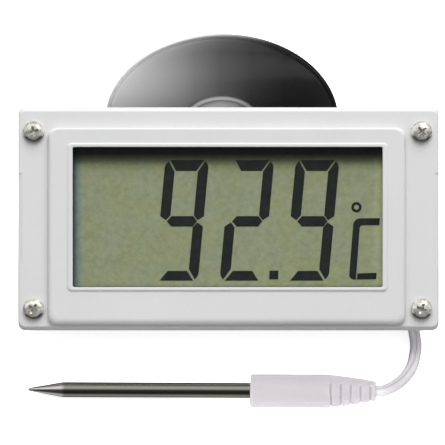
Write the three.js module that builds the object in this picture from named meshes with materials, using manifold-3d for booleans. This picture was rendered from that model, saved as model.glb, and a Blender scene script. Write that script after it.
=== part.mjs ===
// Desk and tank thermometer: a large liquid-crystal display in a leaning case, held on a pane
// (or propped on a shelf) by a suction cup on a tilting arm, with a short cord to a pointed probe.
// Millimetres, +Z up. The case is drawn in its own frame (x across, y up the display, z out of
// the display), and that frame leans back by LEAN about the world's X axis.
import * as THREE from 'three';
import { mergeVertices } from 'three/addons/utils/BufferGeometryUtils.js';
import Module from 'manifold-3d';

const wasm = await Module();
wasm.setup();

// ---------------------------------------------------------------- driving dimensions
const LEAN = Math.PI / 4;
const GAP = 0.3; // clearance between neighbouring pieces
const PLATE = { width: 114.6, height: 61.2, thick: 3, corner: 1.5, chamfer: 1 };
const PLATFORM = { x: -0.25, y: -2.15, width: 97.9, height: 53.7, rise: 2, round: 1.3 };
const WINDOW = { y: 0.475, width: 84.7, height: 38.35, lip: 0.9 };
const RIM = { width: 1.45, rise: 0.35, corner: 1.3 }; // the raised line round the window
const GRIP = { length: 25, width: 1.3, depth: 0.4 }; // finger reliefs along the plate's front side edges
const SCREWS = { x: 53.1, top: 23.6, bottom: -24.9, head: 2.9, shaft: 1.45, reach: 9.9 };
const CASE = {
  width: 111.6, height: 58.2, front: -4.2, back: -22, wall: 1.8, floor: 1.5,
  footChamfer: 4, topChamfer: 10, edge: 1.2,
};
const LENS = { width: 88, height: 41.6, front: 0.6, back: -0.7 };
const BOARD = { y: 0.1, width: 98, height: 53, front: -6.2, back: -7.8 };
const BOARD_SCREWS = { x: 30, top: 24.4, bottom: -23.6 };
const CELL = { y: -18, z: -15, radius: 5.25, left: -22.5, right: 21.9 }; // an AAA cell
const DOOR = { left: -27.2, right: 24, top: -12.1, bottom: -23.4 };
const HINGE = { x: -1.6, y: 10.6, z: -27.6, pin: 1, ear: 3, knuckle: 10, screws: 12.4 };
const CUP = { radius: 33.8, lipY: 38.5, hub: 10.4 };
const ARM = { front: 31.2, back: 34.4, half: 7, head: 7.5 };
const CORD = { x: 51.8, z: -13.4, radius: 1.25 };
const PROBE = {
  handle: 4.45, tail: 2.6, big: 20.3, length: 33.9, tube: 2.05, tip: 0.45, reach: 60.9, cone: 9.5,
};

// The table under the foot and the cup's rim, in the leaning case's centre frame.
const cos = Math.cos(LEAN);
const footDepth = CASE.height / 2 - CASE.back - CASE.footChamfer;
const TABLE = -cos * footDepth;
const CUP_Z = TABLE + CUP.radius;

// ---------------------------------------------------------------- geometry helpers
function solid(geometry) {
  const bare = geometry.clone();
  bare.deleteAttribute('normal');
  bare.deleteAttribute('uv');
  const merged = mergeVertices(bare, 1e-4);
  const points = Float32Array.from(merged.attributes.position.array);
  const index = merged.index.array;
  const corners = [];
  for (let i = 0; i < index.length; i += 3) {
    const [a, b, c] = [index[i], index[i + 1], index[i + 2]];
    if (a !== b && b !== c && c !== a) {
      corners.push(a, b, c);
    }
  }
  if (signedVolume(points, corners) < 0) {
    corners.reverse();
  }
  const mesh = new wasm.Mesh({
    numProp: 3, vertProperties: points, triVerts: Uint32Array.from(corners),
  });
  return new wasm.Manifold(mesh);
}

function signedVolume(points, corners) {
  const [a, b, c] = [new THREE.Vector3(), new THREE.Vector3(), new THREE.Vector3()];
  let sum = 0;
  for (let i = 0; i < corners.length; i += 3) {
    a.fromArray(points, corners[i] * 3);
    b.fromArray(points, corners[i + 1] * 3);
    c.fromArray(points, corners[i + 2] * 3);
    sum += a.dot(b.cross(c));
  }
  return sum / 6;
}

function geometryOf(body) {
  const mesh = body.getMesh();
  const geometry = new THREE.BufferGeometry();
  geometry.setAttribute('position', new THREE.BufferAttribute(mesh.vertProperties, 3));
  geometry.setIndex(new THREE.BufferAttribute(mesh.triVerts, 1));
  geometry.computeVertexNormals();
  return geometry;
}

function join(first, ...rest) {
  return rest.reduce((sum, piece) => sum.add(piece), first);
}

function cut(first, ...rest) {
  return rest.reduce((left, piece) => left.subtract(piece), first);
}

function box(x0, x1, y0, y1, z0, z1) {
  const geometry = new THREE.BoxGeometry(x1 - x0, y1 - y0, z1 - z0);
  return solid(geometry.translate((x0 + x1) / 2, (y0 + y1) / 2, (z0 + z1) / 2));
}

function rod(axis, radius, from, to, x = 0, y = 0, z = 0, sides = 20) {
  const geometry = new THREE.CylinderGeometry(radius, radius, to - from, sides);
  geometry.translate(0, (from + to) / 2, 0);
  if (axis === 'x') {
    geometry.rotateZ(-Math.PI / 2);
  }
  if (axis === 'z') {
    geometry.rotateX(Math.PI / 2);
  }
  return solid(geometry.translate(x, y, z));
}

function roundedRect(width, height, corner) {
  const [x, y] = [width / 2, height / 2];
  const shape = new THREE.Shape();
  shape.moveTo(-x + corner, -y);
  shape.lineTo(x - corner, -y);
  shape.absarc(x - corner, -y + corner, corner, -Math.PI / 2, 0);
  shape.absarc(x - corner, y - corner, corner, 0, Math.PI / 2);
  shape.absarc(-x + corner, y - corner, corner, Math.PI / 2, Math.PI);
  shape.absarc(-x + corner, -y + corner, corner, Math.PI, Math.PI * 1.5);
  return shape;
}

// A rounded slab from z0 to z1, centred on (x, y).
function slab(width, height, corner, z0, z1, x = 0, y = 0) {
  const shape = roundedRect(width, height, corner);
  const options = { depth: z1 - z0, bevelEnabled: false, curveSegments: 3 };
  return solid(new THREE.ExtrudeGeometry(shape, options).translate(x, y, z0));
}

// The same slab with its front edge (z1) eased by a bevel of that size and number of steps.
function easedSlab(width, height, corner, z0, z1, ease, steps, x = 0, y = 0) {
  const inner = Math.max(0.2, corner - ease);
  const shape = roundedRect(width - 2 * ease, height - 2 * ease, inner);
  const spare = 2 * ease;
  const options = {
    depth: z1 - z0 + spare - ease, bevelEnabled: true, bevelThickness: ease, bevelSize: ease,
    bevelSegments: steps, curveSegments: 3,
  };
  const whole = solid(new THREE.ExtrudeGeometry(shape, options).translate(x, y, z0 - spare));
  const reach = width + height;
  return cut(whole, box(-reach, reach, -reach, reach, z0 - 4 * spare, z0));
}

// A profile drawn in the (y, z) plane, drawn out along x.
function alongX(points, x0, x1) {
  const shape = new THREE.Shape(points.map(([y, z]) => new THREE.Vector2(y, z)));
  const geometry = new THREE.ExtrudeGeometry(shape, { depth: x1 - x0, bevelEnabled: false });
  const basis = new THREE.Matrix4().makeBasis(
    new THREE.Vector3(0, 1, 0), new THREE.Vector3(0, 0, 1), new THREE.Vector3(1, 0, 0));
  return solid(geometry.applyMatrix4(basis).translate(x0, 0, 0));
}

// A profile of [radius, height] pairs turned about +Y.
function turned(profile, sides) {
  const points = profile.map(([radius, height]) => new THREE.Vector2(radius, height));
  return new THREE.LatheGeometry(points, sides);
}

// A round tube of small section along a smooth curve through the points.
function tube(points, radius, sides, steps) {
  const curve = new THREE.CatmullRomCurve3(points.map((p) => new THREE.Vector3(...p)));
  const section = new THREE.Shape();
  for (let i = 0; i < sides; i += 1) {
    const angle = (i / sides) * Math.PI * 2;
    const [x, y] = [radius * Math.cos(angle), radius * Math.sin(angle)];
    if (i === 0) {
      section.moveTo(x, y);
    } else {
      section.lineTo(x, y);
    }
  }
  return solid(new THREE.ExtrudeGeometry(section, { steps, extrudePath: curve }));
}

// ---------------------------------------------------------------- finishes
const finish = (color, roughness, metalness = 0) => ({ color, roughness, metalness });
const FINISHES = {
  shell: finish(0xd7d8da, 0.45),
  window: finish(0xdfeae4, 0.05),
  crystal: finish(0x5f7350, 0.15),
  film: finish(0x8ea377, 0.6),
  dark: finish(0x1c2024, 0.35),
  board: finish(0x1f5b34, 0.5),
  steel: finish(0xb9bcc0, 0.25, 1),
  rubber: finish(0x2a2b2d, 0.3),
  seal: finish(0x3b3c3e, 0.8),
  cell: finish(0x3c62a5, 0.35),
  red: finish(0xa92a22, 0.5),
  white: finish(0xe9e8ef, 0.5),
  ceramic: finish(0xc7b492, 0.6),
};

function mesh(name, body, finishName) {
  const material = new THREE.MeshStandardMaterial(FINISHES[finishName]);
  const made = new THREE.Mesh(geometryOf(body), material);
  made.name = name;
  return made;
}

function cornerPlaces() {
  return [
    ['upper_left', -SCREWS.x, SCREWS.top], ['upper_right', SCREWS.x, SCREWS.top],
    ['lower_left', -SCREWS.x, SCREWS.bottom], ['lower_right', SCREWS.x, SCREWS.bottom],
  ];
}

function boardPlaces() {
  const { x, top, bottom } = BOARD_SCREWS;
  return [[-x, top], [x, top], [-x, bottom], [x, bottom]];
}

// ---------------------------------------------------------------- front of the case
function frontBezel() {
  const plate = easedSlab(PLATE.width, PLATE.height, PLATE.corner, -PLATE.thick, 0, PLATE.chamfer, 1);
  const raised = easedSlab(PLATFORM.width, PLATFORM.height, 2.5, -1, PLATFORM.rise, PLATFORM.round, 3,
    PLATFORM.x, PLATFORM.y);
  const rim = slab(WINDOW.width + 2 * RIM.width, WINDOW.height + 2 * RIM.width, RIM.corner,
    PLATFORM.rise - 1, PLATFORM.rise + RIM.rise, 0, WINDOW.y);
  let body = join(plate, raised, rim);
  for (const [x, y] of boardPlaces()) {
    body = body.add(rod('z', 2, -5.9, -2.5, x, y));
    body = body.subtract(rod('z', 1.25, -6.5, -3.4, x, y));
  }
  const opening = slab(WINDOW.width, WINDOW.height, 0.6, -4, 3, 0, WINDOW.y);
  const rebate = slab(LENS.width + 2 * GAP, LENS.height + 2 * GAP, 1, -4, WINDOW.lip, 0, WINDOW.y);
  body = cut(body, opening, rebate);
  for (const [, x, y] of cornerPlaces()) {
    body = body.subtract(rod('z', SCREWS.shaft + GAP, -4, 1, x, y));
    body = body.subtract(rod('z', SCREWS.head + GAP, -0.6, 1, x, y, 0, 28));
  }
  const edge = PLATE.width / 2;
  const half = GRIP.length / 2;
  const grip = (x) => box(x - GRIP.width, x + GRIP.width, -half, half, -GRIP.depth, 3);
  return mesh('front_bezel', cut(body, grip(-edge), grip(edge)), 'shell');
}

function windowLens() {
  const pane = slab(LENS.width, LENS.height, 0.8, LENS.back, LENS.front, 0, WINDOW.y);
  return mesh('window_lens', pane, 'window');
}

function displayStack() {
  const y = WINDOW.y;
  const ring = cut(slab(92, 43, 1, -5.9, -3.3, 0, y), slab(86.6, 40.8, 0.5, -7, -2, 0, y));
  const strip = (name, centre) => mesh(name, box(-40, 40, centre - 1.1, centre + 1.1, -5.9, -3.1), 'dark');
  return [
    mesh('lcd_glass', slab(86, 40.4, 0.4, -2.8, -1, 0, y), 'crystal'),
    mesh('lcd_reflector', slab(84, 34, 0.4, -3.5, -3.2, 0, y), 'film'),
    mesh('lcd_frame', ring, 'dark'),
    strip('zebra_strip_upper', y + 18.9),
    strip('zebra_strip_lower', y - 18.9),
  ];
}

function bezelGasket() {
  let ring = cut(slab(111, 57.6, 1.5, -3.9, -3.3), slab(107.6, 54.6, 1, -5, -2));
  for (const [, x, y] of cornerPlaces()) {
    ring = ring.subtract(rod('z', SCREWS.shaft + GAP, -5, -2, x, y));
  }
  return mesh('bezel_gasket', ring, 'seal');
}

function cornerScrew(place, x, y, turn) {
  const { head, shaft, reach } = SCREWS;
  const dome = turned([[0, -GAP], [head, -GAP], [head, 0.9], [2.55, 1.5], [1.7, 1.85], [0, 1.95]], 24);
  const slot = box(-1.5, 1.5, -0.32, 0.32, 0.7, 3);
  const cross = join(slot, slot.rotate([0, 0, 90])).rotate([0, 0, turn]);
  const body = cut(join(solid(dome.rotateX(Math.PI / 2)), rod('z', shaft, -reach, 0)), cross);
  const screw = mesh(`corner_screw_${place}`, body, 'steel');
  screw.position.set(x, y, 0);
  return screw;
}

// ---------------------------------------------------------------- back of the case
// The case's section in the (y, z) plane, drawn in by its wall and floor; open runs it out in front.
function caseSection(wall, floor, front) {
  const y = CASE.height / 2 - wall;
  const z = CASE.back + floor;
  const slope = wall * (Math.SQRT2 - 1);
  const foot = CASE.footChamfer - slope;
  const top = CASE.topChamfer - slope;
  const back = floor - wall;
  return [
    [-y, front], [y, front], [y, z - back + top], [y - top - back, z], [-y + foot + back, z],
    [-y, z - back + foot],
  ];
}

function rearCase() {
  const half = CASE.width / 2;
  const outer = alongX(caseSection(0, 0, CASE.front), -half, half);
  const corners = easedSlab(CASE.width, CASE.height * 2, 4, -60, 10, CASE.edge, 1);
  const shell = outer.intersect(corners);
  const inside = half - CASE.wall;
  const cavity = alongX(caseSection(CASE.wall, CASE.floor, 0), -inside, inside);
  let body = cut(shell, cavity);
  for (const [, x, y] of cornerPlaces()) {
    body = body.add(rod('z', 3, -10.4, CASE.front, x, y).intersect(shell));
    body = body.subtract(rod('z', SCREWS.shaft + GAP, -12, 0, x, y));
  }
  for (const side of [-1, 1]) {
    const x = HINGE.x + side * HINGE.screws;
    body = body.add(rod('z', 2.4, -20.6, -14.5, x, HINGE.y));
    body = body.subtract(rod('z', 1.25, -23, -15.5, x, HINGE.y));
  }
  const ribs = [
    box(24.1, 25.3, -24, -10.7, -20.6, -11), box(-28.6, -27.4, -24, -10.7, -20.6, -11),
    box(-27.6, 24.3, -11.9, -10.7, -20.6, -13),
  ];
  body = join(body, ...ribs);
  const doorway = box(DOOR.left, DOOR.right, DOOR.bottom, DOOR.top, -23, -20);
  const halfHeight = CASE.height / 2;
  const cableHole = box(CORD.x - 2.8, CORD.x + 2.8, -halfHeight - 1, -halfHeight + 2.4,
    CORD.z - 2.6, CORD.z + 2.6);
  return mesh('rear_case', cut(body, doorway, cableHole), 'shell');
}

function batteryDoor() {
  const [x0, x1] = [DOOR.left + GAP, DOOR.right - GAP];
  const [y0, y1] = [DOOR.bottom + GAP, DOOR.top - GAP];
  let body = box(x0, x1, y0, y1, CASE.back, -20.6);
  for (let i = 0; i < 5; i += 1) {
    const x = x1 - 4 - i * 1.6;
    body = body.subtract(box(x, x + 0.8, y0 + 2, y1 - 2, CASE.back - 1, CASE.back + 0.4));
  }
  return mesh('battery_door', body, 'shell');
}

// ---------------------------------------------------------------- electronics
function circuitBoard() {
  const { y, width, height, front, back } = BOARD;
  let body = slab(width, height, 1, back, front, 0, y);
  for (const [x, holeY] of boardPlaces()) {
    body = body.subtract(rod('z', 1.25, back - 1, front + 1, x, holeY));
  }
  return mesh('circuit_board', body, 'board');
}

function boardScrew(number, x, y) {
  const head = cut(rod('z', 1.9, -9.7, -8.1), box(-1.4, 1.4, -0.25, 0.25, -11, -9.1));
  const body = join(head, rod('z', 0.95, -8.5, -4.6));
  const screw = mesh(`board_screw_${number}`, body, 'steel');
  screw.position.set(x, y, 0);
  return screw;
}

function boardPieces() {
  const under = BOARD.back - GAP;
  const chip = new THREE.SphereGeometry(7, 20, 10).scale(1, 1, 0.24).translate(4, 6, under);
  const above = box(-20, 20, -20, 20, under, under + 5);
  const can = rod('x', 1.5, -22, -14, 0, 14, under - 1.6);
  const capacitor = join(rod('z', 2.5, under - 5, under, 26, 8), rod('z', 2.2, under - 5.3, under, 26, 8));
  return [
    mesh('display_driver', cut(solid(chip), above), 'dark'),
    mesh('timing_crystal', can, 'steel'),
    mesh('filter_capacitor', capacitor, 'dark'),
    mesh('bias_resistor', rod('x', 1.1, 34, 40.5, 0, 14, under - 1.2), 'ceramic'),
  ];
}

function batteryPieces() {
  const { y, z, radius, left, right } = CELL;
  const nipple = rod('x', 1.9, right - 1, right + 1, 0, y, z);
  const cell = join(rod('x', radius, left, right, 0, y, z, 32), nipple);
  const turns = 4.5;
  const coil = [];
  const steps = 54;
  for (let i = 0; i <= steps; i += 1) {
    const t = i / steps;
    const angle = t * turns * Math.PI * 2;
    const r = 3.6 - 1.6 * t;
    coil.push([-26.1 + 3.1 * t, y + r * Math.cos(angle), z + r * Math.sin(angle)]);
  }
  return [
    mesh('battery_cell', cell, 'cell'),
    mesh('battery_contact_plus', box(23.2, 23.8, y - 4, y + 4, z - 4.5, z + 4.5), 'steel'),
    mesh('battery_contact_minus', box(-27.1, -26.7, y - 4, y + 4, z - 4.5, z + 4.5), 'steel'),
    mesh('battery_spring', tube(coil, 0.25, 5, 72), 'steel'),
    mesh('battery_lead_red', tube([[23.5, -14, -9.85], [23.2, -11, -9.6], [22, -6, -9.1], [20, -1, -8.7]],
      0.5, 6, 9), 'red'),
    mesh('battery_lead_black', tube([[-26.9, -14, -9.85], [-26.5, -11, -9.6], [-24, -6, -9.1],
      [-21, -1, -8.7]], 0.5, 6, 9), 'dark'),
  ];
}

// ---------------------------------------------------------------- hinge bracket, arm and cup
function hingeBracket() {
  const { x, y, z, ear, pin } = HINGE;
  let body = slab(32, 13, 2, -24.3, CASE.back - GAP, x, y);
  for (const side of [-1, 1]) {
    const inner = x + side * (HINGE.knuckle / 2 + GAP);
    const outer = inner + side * 3;
    const [x0, x1] = [Math.min(inner, outer), Math.max(inner, outer)];
    body = join(body, box(x0, x1, y - ear, y + ear, z, -24), rod('x', ear, x0, x1, 0, y, z, 32));
    body = body.subtract(rod('z', 1.25, -26, -20, x + side * HINGE.screws, y));
  }
  body = body.subtract(rod('x', pin + GAP, x - 12, x + 12, 0, y, z));
  return mesh('hinge_bracket', body, 'shell');
}

function bracketScrew(name, x) {
  const head = cut(rod('z', 2, -26.1, -24.6), box(-1.4, 1.4, -0.25, 0.25, -27, -25.5));
  const body = join(head, rod('z', 0.95, -25, -16.2));
  const screw = mesh(`bracket_screw_${name}`, body, 'steel');
  screw.position.set(x, HINGE.y, 0);
  return screw;
}

function hingePin() {
  const { x, y, z, pin } = HINGE;
  const body = join(rod('x', pin, x - 9.2, x + 9.8, 0, y, z), rod('x', 1.9, x - 9.9, x - 8.9, 0, y, z));
  const ring = cut(rod('x', 2.2, x + 8.8, x + 9.4, 0, y, z), rod('x', pin + GAP, x + 8, x + 10, 0, y, z),
    box(x + 8, x + 10, y - 0.6, y + 0.6, z - 3, z));
  return [mesh('hinge_pin', body, 'steel'), mesh('pin_clip', ring, 'steel')];
}

// Where the hinge's axis lies once the case leans back.
function hingePlace() {
  return { y: cos * (HINGE.y - HINGE.z), z: cos * (HINGE.y + HINGE.z) };
}

function swivelArm() {
  const { x, pin, knuckle } = HINGE;
  const h = hingePlace();
  const [low, half] = [h.z - 2.8, knuckle / 2];
  const web = [[h.y, low], [ARM.back, low], [ARM.back, low + 5], [ARM.front, h.z + 2.8], [h.y, h.z + 2.8]];
  const plate = join(
    box(x - ARM.half, x + ARM.half, ARM.front, ARM.back, low, CUP_Z),
    rod('y', ARM.head, ARM.front, ARM.back, x, 0, CUP_Z, 40));
  const knuckleRod = rod('x', 2.8, x - half, x + half, 0, h.y, h.z, 32);
  const body = cut(join(plate, alongX(web, x - half, x + half), knuckleRod),
    rod('x', pin + GAP, x - 12, x + 12, 0, h.y, h.z),
    rod('y', 2.9, ARM.front - 1, ARM.back + 1, x, 0, CUP_Z),
    rod('y', 4.8, ARM.front - 1, ARM.front + 1.8, x, 0, CUP_Z, 32));
  return mesh('swivel_arm', body, 'shell');
}

// The cup's disc, hub, neck and mushroom button are one moulding; heights run towards the case.
function suctionCup() {
  const profile = [
    [0, 0.7], [10, 0.7], [20, 0.5], [29, 0.2], [31.2, 0], [33.2, 0], [CUP.radius, 0.35],
    [33.5, 0.75], [30, 1], [20, 1.45], [12.2, 1.85], [11.6, 1.5], [11, 1.95], [CUP.hub, 2],
    [6, 2], [5.8, 3.8], [2.6, 3.8], [2.6, 5.9], [4.2, 5.9], [3.6, 7], [0, 7.2],
  ];
  const body = solid(turned(profile, 56).rotateX(Math.PI).translate(HINGE.x, CUP.lipY, CUP_Z));
  return mesh('suction_cup', body, 'rubber');
}

// ---------------------------------------------------------------- cord and probe
function cableGrommet() {
  const wall = -CASE.height / 2;
  const block = (w, h, y0, y1) => box(CORD.x - w, CORD.x + w, y0, y1, CORD.z - h, CORD.z + h);
  const body = cut(join(block(2.5, 2.3, wall - GAP, wall + 2.2), block(3.2, 2.8, wall - 1.2, wall - GAP),
    block(1.9, 2.8, wall + 2.1, wall + 2.9)), block(1.6, 1.6, wall - 3, wall + 4));
  return mesh('cable_grommet', body, 'seal');
}

function sensorLeads() {
  const start = -CASE.height / 2 + 5.6;
  const wire = (name, side, color) => mesh(name, tube([
    [CORD.x + side, start, CORD.z], [CORD.x - 1 + side, start + 3, CORD.z + 0.4],
    [CORD.x - 4 + side, start + 8, CORD.z + 2.5], [CORD.x - 6 + side, start + 12, BOARD.back - 0.9]],
  0.45, 6, 9), color);
  return [wire('sensor_lead_left', -0.7, 'white'), wire('sensor_lead_right', 0.7, 'white')];
}

// The cord's middle line in the world's axes, from inside the grommet to the handle's tail.
const CORD_ROUTE = [
  [51.8, -9.12, -28.07], [51.8, -10.32, -29.27], [51.85, -11.5, -30.4], [52.0, -12.8, -31.3],
  [52.2, -14.3, -31.85], [52.35, -15.9, -32.03], [52.35, -17.6, -32.03], [52.2, -19.4, -32.03],
  [51.9, -21.2, -32.03], [51.27, -24.18, -32.03], [50.52, -26.28, -31.99], [49.55, -28.28, -31.81],
  [48.4, -30.3, -31.39], [47.14, -32.32, -30.7], [45.83, -34.24, -29.83], [44.47, -36.02, -28.88],
  [43.16, -37.44, -28.03], [41.9, -38.39, -27.44], [40.85, -38.67, -27.24],
];

function probeCord() {
  return mesh('probe_cord', tube(CORD_ROUTE, CORD.radius, 8, 40), 'white');
}

// The probe is turned about its own X axis: the handle behind x = 0, the tube in front of it.
function turnedAboutX(profile, sides) {
  return solid(turned(profile, sides).rotateZ(-Math.PI / 2));
}

function probeHandle() {
  const { handle, tail, big, length, tube: tubeRadius } = PROBE;
  const outer = turnedAboutX([
    [0, 0], [handle - 0.5, 0], [handle - 0.15, 0.15], [handle, 0.5], [handle, big],
    [tail, length - 0.4], [tail - 0.4, length], [0, length]], 28);
  let body = cut(outer, rod('x', tubeRadius + GAP, -1, 10.4));
  const spine = box(0, 60, -0.9, 0.9, 0, 6);
  for (let i = 0; i < 5; i += 1) {
    const x = big + 1 + i * 2.68;
    const radius = handle - (handle - tail) * ((x - big) / (length - big)) - 0.75;
    const ring = turnedAboutX([[radius, x], [6, x], [6, x + 0.85], [radius, x + 0.85], [radius, x]], 28);
    body = body.subtract(ring.subtract(spine));
  }
  return mesh('probe_handle', body, 'white');
}

function probeTube() {
  const { tube: radius, tip, reach, cone } = PROBE;
  const inner = radius - 0.4;
  return mesh('probe_tube', turnedAboutX([
    [0, -reach], [tip * 0.5, 0.04 - reach], [tip * 0.85, 0.17 - reach], [tip, 0.45 - reach],
    [radius - 0.1, cone - 0.6 - reach], [radius, cone + 0.3 - reach], [radius, 10],
    [inner, 10], [inner, cone + 1 - reach], [0, cone - reach]], 144), 'steel');
}

function probeInside() {
  const bead = new THREE.SphereGeometry(1.2, 12, 8).scale(1.5, 1, 1).translate(13.5 - PROBE.reach, 0, 0);
  const lead = (name, y) => mesh(name, rod('x', 0.3, 15.7 - PROBE.reach, 9, 0, y, 0, 10), 'steel');
  return [
    mesh('thermistor_bead', solid(bead), 'ceramic'),
    lead('thermistor_lead_left', -0.6), lead('thermistor_lead_right', 0.6),
  ];
}

// The probe lies on the table on the tube's shoulder and the handle's front edge.
function probe() {
  const group = new THREE.Group();
  group.add(probeHandle(), probeTube(), ...probeInside());
  const droop = (PROBE.handle - PROBE.tube) / (PROBE.reach - PROBE.cone);
  const along = new THREE.Vector3(Math.sqrt(1 - 2 * droop * droop), -droop, droop);
  group.quaternion.setFromUnitVectors(new THREE.Vector3(1, 0, 0), along);
  group.position.set(6.3, -37.05, TABLE + PROBE.handle);
  return group;
}

// ---------------------------------------------------------------- assembly
function caseGroup() {
  const group = new THREE.Group();
  group.rotation.x = LEAN;
  const turns = [12, 33, 58, -20];
  group.add(frontBezel(), windowLens(), ...displayStack(), bezelGasket(), rearCase(), batteryDoor());
  group.add(...cornerPlaces().map(([place, x, y], i) => cornerScrew(place, x, y, turns[i])));
  group.add(circuitBoard(), ...boardPlaces().map(([x, y], i) => boardScrew(i + 1, x, y)));
  group.add(...boardPieces(), ...batteryPieces(), cableGrommet(), ...sensorLeads());
  group.add(hingeBracket(), bracketScrew('left', HINGE.x - HINGE.screws));
  group.add(bracketScrew('right', HINGE.x + HINGE.screws));
  group.add(...hingePin());
  return group;
}

// Everything is drawn about the display's centre, then set down on z = 0, centred on its own box.
function standOnOrigin(group, standing) {
  group.updateMatrixWorld(true);
  const bounds = new THREE.Box3();
  standing.forEach((piece) => bounds.expandByObject(piece, true));
  const centre = bounds.getCenter(new THREE.Vector3());
  group.position.set(-centre.x, -centre.y, -bounds.min.z);
}

const thermometer = new THREE.Group();
const standing = [caseGroup(), swivelArm(), suctionCup()];
thermometer.add(...standing, probeCord(), probe());
standOnOrigin(thermometer, standing);

export default thermometer;
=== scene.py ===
"""Looks for the leaning tank thermometer: its materials, its display's reading and its visible pieces.

Sizes are in millimetres, and MM turns them into metres. The display leans back 45 degrees, so most pieces
are drawn in the display's own axes: u across it, v up it and w out of it, about the front plate's middle.
case_point() and CASE_MATRIX turn (u, v, w) into the frame's axes.
"""

import math

import bmesh
import bpy
from mathutils import Matrix, Vector


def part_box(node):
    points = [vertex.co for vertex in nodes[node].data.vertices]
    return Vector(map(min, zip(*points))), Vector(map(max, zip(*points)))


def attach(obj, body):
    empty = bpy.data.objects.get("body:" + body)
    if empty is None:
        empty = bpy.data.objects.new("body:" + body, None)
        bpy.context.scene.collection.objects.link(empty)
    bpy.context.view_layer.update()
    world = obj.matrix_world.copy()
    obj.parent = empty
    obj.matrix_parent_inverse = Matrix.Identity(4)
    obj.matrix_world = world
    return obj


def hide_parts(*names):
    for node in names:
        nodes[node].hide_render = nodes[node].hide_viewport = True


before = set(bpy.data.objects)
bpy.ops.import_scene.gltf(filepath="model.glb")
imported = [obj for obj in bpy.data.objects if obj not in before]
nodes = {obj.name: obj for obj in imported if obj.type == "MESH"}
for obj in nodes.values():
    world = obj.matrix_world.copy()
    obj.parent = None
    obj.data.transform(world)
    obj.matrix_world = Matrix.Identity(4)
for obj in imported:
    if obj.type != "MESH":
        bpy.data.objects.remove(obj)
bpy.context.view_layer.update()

# ------------------------------------------------------------------ places, worked out from the frame
MM = 0.001
LEAN = math.radians(45)
ACROSS = Vector((1, 0, 0))
UP = Vector((0, math.cos(LEAN), math.sin(LEAN)))
OUT = Vector((0, -math.sin(LEAN), math.cos(LEAN)))
WINDOW_V = 0.475  # the window's middle above the plate's middle
LENS_W = -0.05  # the lens's middle depth
TUBE_RADIUS, TIP_REACH, CONE = 2.05, 60.9, 9.5  # the probe's tube, and the length of its ground point


def middle(node):
    low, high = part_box(node)
    return (low + high) / 2


CENTRE = middle("window_lens") - UP * (WINDOW_V * MM) - OUT * (LENS_W * MM)
CUP_LOW, CUP_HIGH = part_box("suction_cup")
CUP_AXIS = middle("suction_cup")
TABLE = CUP_LOW.z


def case_point(u, v, w):
    return CENTRE + (ACROSS * u + UP * v + OUT * w) * MM


CASE_MATRIX = Matrix.Translation(CENTRE) @ Matrix(
    ((1, 0, 0), (0, UP.y, OUT.y), (0, UP.z, OUT.z))
).to_4x4()


# ------------------------------------------------------------------ camera
VIEW_U, VIEW_V = -1.4, -1.0  # where the view's middle meets the plate
VIEW_WIDTH = 121.9  # what the picture spans at the plate
CAMERA_AWAY = 677
SENSOR = 36
NEAR_CLIP = 0.01  # metres


def camera():
    data = bpy.data.cameras.new("camera")
    data.sensor_width = SENSOR
    data.lens = SENSOR * CAMERA_AWAY / VIEW_WIDTH
    data.clip_start = NEAR_CLIP
    obj = bpy.data.objects.new("camera", data)
    bpy.context.scene.collection.objects.link(obj)
    obj.location = case_point(VIEW_U, VIEW_V, CAMERA_AWAY)
    obj.rotation_euler = (LEAN, 0, 0)
    bpy.context.scene.camera = obj


camera()


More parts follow.
